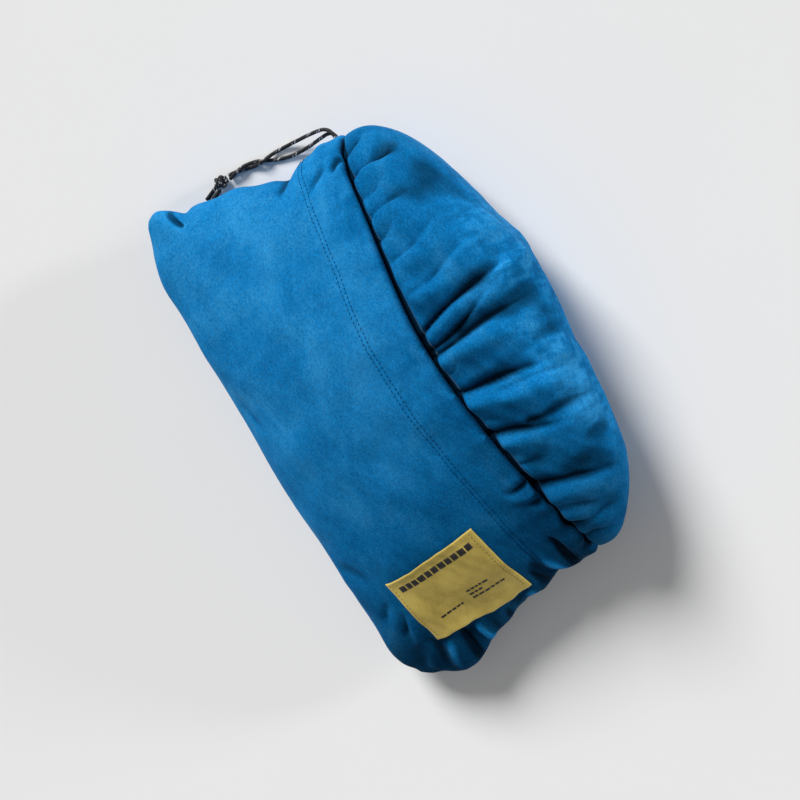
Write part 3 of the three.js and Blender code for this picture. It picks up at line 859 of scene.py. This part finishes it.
def stitches(name, route, node, material=STITCH, length=2.7, gap=0.9, diameter=0.62):
    """Separate stitches along a route that lies on the cloth, their ends sunk into it."""
    steps = lengths_along(route)
    around, rings = 6, 6
    points, faces = [], []
    turn = np.linspace(0, 2 * math.pi, around, endpoint=False)
    for start in np.arange(0, steps[-1] - length, length + gap):
        share = np.linspace(0, 1, rings)
        middle = points_at(start + share * length, steps, route)
        side, over = frames_along(middle)
        thickness = diameter / 2 * (0.55 + 0.45 * np.sin(share * math.pi) ** 0.5)
        middle[:, 2] -= 0.35 * (1 - np.sin(share * math.pi))
        first = len(points) * around * rings
        points.append(middle[:, None, :] + thickness[:, None, None] * outwards(side, over, turn))
        faces += grid_faces(rings, around, first, wrap=True)
        faces.append(list(range(first + around - 1, first - 1, -1)))
        last = first + (rings - 1) * around
        faces.append(list(range(last, last + around)))
    mesh_piece(name, stacked(points), faces, material, replaces=(node,))


def hem_stitches():
    angles = np.linspace(-1.5, 1.5, 700)
    for side, where, lift in ((TOP, "front", 0.22), (BOTTOM, "back", 0.12)):
        reach, _ = across_section(side, angles)
        for i, row in enumerate(STITCH_ROWS):
            depth = row / (mouth_y(reach) - CLOSED_Y)
            route = sleeve_skin(side, angles, depth, -lift)
            route[:, 2] = np.maximum(route[:, 2], 0.4)
            stitches(f"{where}_stitches_{i + 1}", route, f"hem_stitch_{where}_{i + 1}")


def panel_above(x, y, inset):
    """Point of the front panel above a place in plan, found by stepping towards it."""
    depth = np.full_like(x, 0.5)
    for _ in range(14):
        half = lerp(MOUTH_HALF, HALF_LENGTH, ease(FLARE_START, FLARE_END, depth))
        reach = np.clip(x / half, -1, 1)
        depth = (mouth_y(reach) - y) / (mouth_y(reach) - CLOSED_Y)
    angle = np.arcsin(np.abs(reach) ** (SHOULDER_RIGHT / 2))
    return sleeve_skin(TOP, angle, depth, inset)


def label_point(along, up, lift):
    x = LABEL_X + along * math.cos(LABEL_TURN) - up * math.sin(LABEL_TURN)
    y = LABEL_Y + along * math.sin(LABEL_TURN) + up * math.cos(LABEL_TURN)
    return panel_above(x, y, -lift)


LABEL_LIFT = 0.8
LABEL_DEPTH = 0.7
LABEL_STITCH_INSET = 3.5


def label_lift(along, up):
    """The patch lies down at its stitched short ends and stands a little off between them."""
    share = np.clip(np.abs(up) / (LABEL_HEIGHT / 2), 0, 1)
    ripple = 0.18 * np.sin(along / 5.2 + 0.7) * ease(0.6, 1, share)
    ripple += 0.15 * np.sin(up / 13 + along / 17)
    curl = 0.9 * ease(0.8, 1, np.abs(along) / LABEL_HALF) * (1 - share**4)
    return LABEL_LIFT + 1.2 * (1 - share**6) + ripple + curl


def make_label():
    rows, columns = 121, 91
    up, along = crossed(np.linspace(-LABEL_HEIGHT / 2, LABEL_HEIGHT / 2, rows),
                        np.linspace(-LABEL_HALF, LABEL_HALF, columns))
    # cut edges are a little uneven and rolled
    edge = np.maximum(np.abs(along) / LABEL_HALF, np.abs(up) / (LABEL_HEIGHT / 2))
    wander = 0.12 * np.sin(up / 3.1) * (np.abs(along) / LABEL_HALF) ** 12
    depth = LABEL_DEPTH * (1 - 0.5 * ease(0.975, 1, edge))
    layers = [label_point(along + wander, up, label_lift(along, up) + lift) for lift in (depth, 0.0)]
    patch = mesh_piece("label_patch", stacked(layers), shell_faces(rows, columns), LABEL_CLOTH,
                       replaces=("label",))
    for end, which in ((-1, "lower"), (1, "upper")):
        along = np.linspace(-LABEL_HALF * 0.95, LABEL_HALF * 0.95, 160)
        up = np.full_like(along, end * (LABEL_HEIGHT / 2 - LABEL_STITCH_INSET))
        route = label_point(along, up, label_lift(along, up) + LABEL_DEPTH + 0.12)
        stitches(f"label_stitches_{which}", route, f"label_stitch_{which}", LABEL_THREAD, 2.0, 1.4, 0.5)


def printed_bar(points, faces, along, up, width, height):
    """One thin flat bar of ink lying on the label, added to a growing mesh."""
    rows, columns = max(int(height / 1.5), 2) + 1, 4
    ups, alongs = crossed(np.linspace(up, up + height, rows), np.linspace(along, along + width, columns))
    first = sum(len(p) for p in points)
    for lift in (0.09, 0.02):
        bar = label_point(alongs, ups, label_lift(alongs, ups) + LABEL_DEPTH + lift)
        points.append(bar.reshape(-1, 3))
    faces += (np.array(shell_faces(rows, columns)) + first).tolist()


# Print, in millimetres from the label's middle: where the row of blocks lies, and where each
# fine line lies, starts and how long it is
BLOCKS_ALONG, BLOCKS_START, BLOCK_COUNT, BLOCK_GAP = -23.0, -35.0, 11, 1.2
FINE_LINES = ((14.5, -26, 20), (7.5, 5, 15), (11.0, 5, 13), (14.5, 5, 30))
FINE_WIDTH, FINE_GAP = 1.5, 0.9


def make_print():
    """Plain bars where a label has its print: one row of blocks and broken fine lines."""
    points, faces = [], []
    source = np.random.default_rng(5)
    up = BLOCKS_START
    for block in range(BLOCK_COUNT):
        height = 5.0 if block % 3 else 6.0
        printed_bar(points, faces, BLOCKS_ALONG, up, 5.0, height)
        up += height + BLOCK_GAP
    for along, start, length in FINE_LINES:
        up = start
        while up < start + length:
            height = source.uniform(2.2, 5.0)
            printed_bar(points, faces, along, up, FINE_WIDTH, height)
            up += height + FINE_GAP
    mesh_piece("label_print", np.concatenate(points), faces, INK)


# ---- Drawcord inside the hem ----


CHANNEL_CORD_BEHIND = 6.0  # how far the cord runs behind the mouth's fold
CHANNEL_CORD_INSET = CLOTH + CHANNEL / 2 + 0.6


def make_channel_cord():
    """The cord inside the hem, along the upper half and back along the lower one."""
    angles = np.linspace(-1.5, QUARTER, 220)
    halves = []
    for side in (TOP, BOTTOM):
        reach, _ = across_section(side, angles)
        depth = CHANNEL_CORD_BEHIND / (mouth_y(reach) - CLOSED_Y)
        halves.append(sleeve_skin(side, angles, depth, CHANNEL_CORD_INSET))
    route, _ = smooth_route(np.vstack([halves[0], halves[1][-2::-1]])[::3], 0.6)
    braided_tube("hem_cord", route, ("drawcord_in_hem",))


# ---- Pillow cover, gathered where the sleeve's mouth holds it, with its bag and wadding ----

# Folds in the cover: X at the hem, X at the far end, where along the front they start and end
# (0 at the hem, 1 at the nose), half-width and depth in millimetres
FOLDS = [
    (-163, -172, 0.0, 0.36, 2.2, 4.4), (-141, -155, 0.0, 0.56, 2.4, 6.2), (-126, -133, 0.0, 0.38, 2.0, 3.6),
    (-111, -118, 0.0, 0.5, 2.2, 5.0), (-95, -101, 0.0, 0.3, 2.0, 3.2), (-76, -90, 0.1, 0.66, 3.6, 4.0),
    (-50, -62, 0.12, 0.76, 3.6, 4.6),
    (-22, -42, 0.05, 1.0, 3.4, 8.5), (-7, -25, 0.0, 0.74, 2.4, 6.0), (-5, -6, 0.0, 0.97, 2.8, 8.5),
    (26, 43, 0.0, 0.84, 3.0, 8.5), (39, 52, 0.3, 0.9, 3.0, 5.5), (12, 9, 0.0, 0.22, 2.4, 1.8),
    (67, 84, 0.0, 0.68, 2.8, 7.5), (70, 78, 0.34, 0.9, 3.0, 5.0), (53, 57, 0.0, 0.2, 2.4, 1.6),
    (93, 100, 0.0, 0.34, 2.6, 2.6), (117, 132, 0.0, 0.74, 3.0, 7.5), (136, 147, 0.0, 0.46, 3.0, 4.6),
    (152, 160, 0.04, 0.6, 3.2, 5.0), (166, 172, 0.0, 0.44, 2.6, 3.6),
]


def cover_relief(side, x, forward, seed):
    """How far the pillow's cover stands proud of its plain surface."""
    where = np.stack([x, 95 * forward], axis=-1)
    relief = 1.5 * waves(where, 85, seed) + 0.9 * waves(where, 34, seed + 1)
    relief += 0.3 * waves(where, 14, seed + 2)
    mirror = 1 if side == TOP else -0.9
    for start_x, end_x, start, end, width, depth in FOLDS:
        share = (forward - start) / (end - start)
        line = mirror * lerp(start_x, end_x, share) + 1.8 * np.sin(share * 5 + start_x)
        off = (x - line) / (1 + 0.6 * np.clip(share, 0, 1))
        fade = ease(-0.1, 0.08, share) * (1 - ease(0.4, 1.08, share))
        # a long slope down to the fold on one side and a steep overhanging lip on the other
        off = off * mirror
        slope = 0.55 * np.exp(-((np.abs(off) / (np.where(off < 0, 3.0, 0.8) * width)) ** 1.3))
        slope += 0.45 * np.exp(-((np.abs(off) / np.where(off < 0, 2.0, 1.3)) ** 1.2))
        lips = 0.5 * bump(off, 8.0, 6.5) + 0.28 * bump(off, -21.0, 11.0)
        relief += depth * fade * (lips - slope)
    gathers = waves(np.stack([x, 9 * forward], axis=-1), 11, seed + 3, 7)
    return relief + 1.1 * gathers * np.exp(-forward / 0.12)


# The cover is cut 6% larger than the bag that fills it, and the filling pushes it out
CLOTH_SETTINGS = dict(
    quality=6, mass=0.12, tension_stiffness=12, compression_stiffness=12, shear_stiffness=6,
    bending_stiffness=0.25, air_damping=4, vertex_group_mass="held", pin_stiffness=1,
    use_pressure=True, uniform_pressure_force=3.0, shrink_min=-0.06)
SETTLE_FRAMES = 16
SETTLE_COLUMNS, SETTLE_ROWS = 141, 72
SETTLE_CAP = 5.0  # furthest that the simulation may move a point, in millimetres


def settle(points, held):
    """Cloth simulation of a sheet pushed out by its filling: how far each point moves, in mm."""
    rows, columns = points.shape[:2]
    mesh = bpy.data.meshes.new("settling")
    mesh.from_pydata((points.reshape(-1, 3) * MM).tolist(), [], grid_faces(rows, columns))
    piece = link("settling", mesh)
    group = piece.vertex_groups.new(name="held")
    for level in np.unique(held):
        group.add(np.flatnonzero(held.ravel() == level).tolist(), float(level), "REPLACE")
    cloth = piece.modifiers.new("cloth", "CLOTH")
    for key, value in CLOTH_SETTINGS.items():
        setattr(cloth.settings, key, value)
    cloth.settings.effector_weights.gravity = 0
    cloth.collision_settings.use_collision = False
    for frame_number in range(1, SETTLE_FRAMES + 1):
        bpy.context.scene.frame_set(frame_number)
    settled = piece.evaluated_get(bpy.context.evaluated_depsgraph_get())
    moved = np.empty(rows * columns * 3)
    settled.data.vertices.foreach_get("co", moved)
    bpy.context.scene.frame_set(1)
    bpy.data.objects.remove(piece)
    return moved.reshape(rows, columns, 3) / MM - points


def resample(field, places):
    """Catmull-Rom values of a field between its rows, at fractional row numbers."""
    last = len(field) - 1
    whole = np.clip(np.floor(places).astype(int), 0, last - 1)
    t = (places - whole)[:, None, None]
    a, b, c, d = (field[np.clip(whole + k, 0, last)] for k in (-1, 0, 1, 2))
    return catmull_rom(a, b, c, d, t)


def settled_front(side):
    """Movement of the cover's front as it settles, on an even grid of stations and angles."""
    stations = 1 + np.linspace(0, 1, SETTLE_ROWS)
    angles = np.linspace(-QUARTER, QUARTER, SETTLE_COLUMNS)
    station, angle = crossed(stations, angles)
    points = cover_skin(side, angle, station, 0.0)
    rim = np.minimum(1 - np.abs(angle) / QUARTER, 2 - station)
    held = np.round(np.maximum(1 - ease(0.0, 0.05, station - 1), 1 - ease(0.0, 0.05, rim)), 1)
    # the upper half is turned round for the simulation, so that its faces point outwards too
    order = slice(None, None, -1 if side == TOP else 1)
    moved = settle(points[:, order], held[:, order])[:, order]
    size = np.linalg.norm(moved, axis=-1, keepdims=True)
    moved *= np.minimum(1, SETTLE_CAP / np.maximum(size, 1e-6))
    return moved * (1 - held)[..., None]


def settled_at(field, stations, angles):
    """The movement field on another grid; nothing moves inside the sleeve."""
    rows = resample(field, np.clip(stations - 1, 0, 1) * (SETTLE_ROWS - 1))
    grid = resample(rows.transpose(1, 0, 2), (angles + QUARTER) / (2 * QUARTER) * (SETTLE_COLUMNS - 1))
    return grid.transpose(1, 0, 2) * (stations > 1)[:, None, None]


def cover_lift(side, angle, station):
    """The cover's relief where it may show: how far it stands proud at each point."""
    reach, _ = across_section(side, angle)
    flat = pillow_surface(side, angle, station, 0.0)
    forward = forwardness(station)
    lift = cover_relief(side, flat[..., 0], forward, 31 if side == TOP else 37)
    # flush with its seam at the sides and nose, and clear of the hem where the sleeve holds it
    lift = lift * ease(0, 0.1, 1 - np.abs(reach)) * ease(0, 0.06, 1 - forward)
    held = np.minimum(lift, 0)
    lift = np.where(station < 1, held * 0.25, lerp(held, lift, ease(0.0, 0.05, forward)))
    return lift * (1.0 if side == TOP else 0.7)


def cover_painted_light(side, angle, station):
    """Painted light for the cover's colour: painted shade over the cover, deeper in its folds, at the +X end
    and in the hem's gap, and painted highlight in pale patches towards the nose.
    """
    lift = cover_lift(side, angle, station)
    forward = forwardness(station)
    flat = pillow_surface(side, angle, station, 0.0)
    # painted shade: 0.77 over the whole cover, darker down in the folds
    painted_fold_shade = 0.77 - 0.48 * ease(0.6, -2.4, lift) - 0.25 * ease(-2.2, -4.6, lift)
    # patches for the painted highlight
    painted_highlight = 0.5 + 0.5 * np.tanh(1.1 * (waves(flat, 22, 51) + 0.8 * waves(flat, 7, 52)))
    # painted highlight: pale patches on the front towards the nose, away from the folds
    outside = 0.64 * ease(0.5, 0.95, forward) * painted_highlight * ease(-1.5, 1.0, lift)
    # painted shade: darker towards the +X end, away from the nose
    shade = 1 - 0.38 * ease(60, 170, flat[..., 0]) * ease(0.9, 0.3, forward)
    # painted shade: a near-black band where the sleeve's hem holds the cover
    held = ease(0.9, 0.97, station) * ease(0.075, 0.015, forward)
    return painted_fold_shade * shade * lerp(1.0, 0.1, held) + outside


def cover_skin(side, angle, station, inset, inside=False):
    lift = cover_lift(side, angle, station)
    if inside:
        lift = np.minimum(lift, 0) * 1.2 + np.maximum(lift, 0) * 0.5
    points = pillow_surface(side, angle, station, inset - lift)
    forward = forwardness(station)
    points[..., 1] += nose_lumps(points[..., 0]) * ease(0.3, 0.9, forward)
    points[..., 2] = np.maximum(points[..., 2], 0.05 + inset)
    return points


def pillow_grid(hidden, front, columns):
    """The stations of a grid's rows and the angles of its columns, over half the pillow."""
    stations = np.concatenate([np.linspace(0, 1, hidden)[:-1], 1 + np.linspace(0, 1, front) ** 1.15])
    return stations, np.linspace(-QUARTER, QUARTER, columns)


def pillow_shell(side, name, node, material, inset, thickness, columns, hidden, front, field=None):
    stations, angles = pillow_grid(hidden, front, columns)
    station, angle = crossed(stations, angles)
    shell = [cover_skin(side, angle, station, depth, inset > 0) for depth in (inset, inset + thickness)]
    if field is not None:
        shell = [layer + settled_at(field, stations, angles) for layer in shell]
        for layer in shell:
            layer[..., 2] = np.clip(layer[..., 2], 0.05, None)
    # the outer face carries the painted shade and painted highlight; the inner face gets a flat, darker 0.7
    nap_and_painted_light = np.concatenate([cover_painted_light(side, angle, station).ravel(), np.full(station.size, 0.7)])
    piece = mesh_piece(name, stacked(shell), shell_faces(len(stations), columns), material, body="pillow",
                       replaces=(node,), weld=0.02, marks={"nap_and_painted_light": nap_and_painted_light})


def pillow_wadding():
    stations, angles = pillow_grid(24, 60, 121)
    station, angle = crossed(stations, angles)
    halves = [cover_skin(side, angle, station, 6.5, True) for side in (TOP, BOTTOM)]
    wad = mesh_piece("wadding", stacked(halves), shell_faces(len(stations), len(angles)), WADDING,
                     body="pillow", replaces=("pillow_fill",), weld=0.02)


sleeve_panel(TOP, "front_panel", "sleeve_front_panel")
sleeve_panel(BOTTOM, "back_panel", "sleeve_back_panel")
side_allowance(-1, "left_allowance", "side_seam_left")
side_allowance(1, "right_allowance", "side_seam_right")
end_allowance()
hem_stitches()
make_label()
make_print()
make_channel_cord()
HALVES = ((TOP, "top"), (BOTTOM, "bottom"))
for side, where in HALVES:
    pillow_shell(side, f"cover_{where}", f"pillow_cover_{where}", SUEDE, 0.0, CLOTH, 361, 60, 170,
                 settled_front(side))
for side, where in HALVES:
    pillow_shell(side, f"bag_{where}", f"inner_bag_{where}", LINING, 3.0, 0.8, 181, 30, 90)
pillow_wadding()

# ---- Studio: pale floor, soft key from the left, low rim from behind the front ----


def sun_light(name, towards, strength, spread):
    data = bpy.data.lights.new(name, "SUN")
    data.energy = strength
    data.angle = math.radians(spread)
    light = bpy.data.objects.new(name, data)
    bpy.context.collection.objects.link(light)
    light.rotation_euler = Vector(towards).to_track_quat("Z", "Y").to_euler()


def floor_material():
    n = Nodes("floor")
    n.color(n.greys(n.noise(3.0), (0.3, 0.895), (0.7, 0.905)))
    n.set(Roughness=1.0, Specular_IOR_Level=0.0)
    return n.material


FLOOR = 4.0  # half its side, in metres


def make_studio():
    sun_light("key", (-0.84, -0.04, 0.53), 3.7, 24)
    sun_light("rim", (0.15, 0.97, 0.16), 1.5, 10)
    mesh = bpy.data.meshes.new("floor")
    corners = [(-FLOOR, -FLOOR, 0), (FLOOR, -FLOOR, 0), (FLOOR, FLOOR, 0), (-FLOOR, FLOOR, 0)]
    mesh.from_pydata(corners, [], [(0, 1, 2, 3)])
    mesh.materials.append(floor_material())
    link("floor", mesh)
    world = bpy.data.worlds.new("world")
    bpy.context.scene.world = world
    world.use_nodes = True
    background = world.node_tree.nodes["Background"].inputs
    background["Color"].default_value = (1, 1, 1, 1)
    background["Strength"].default_value = 0.19
    bpy.context.scene.view_settings.view_transform = "Standard"


make_studio()
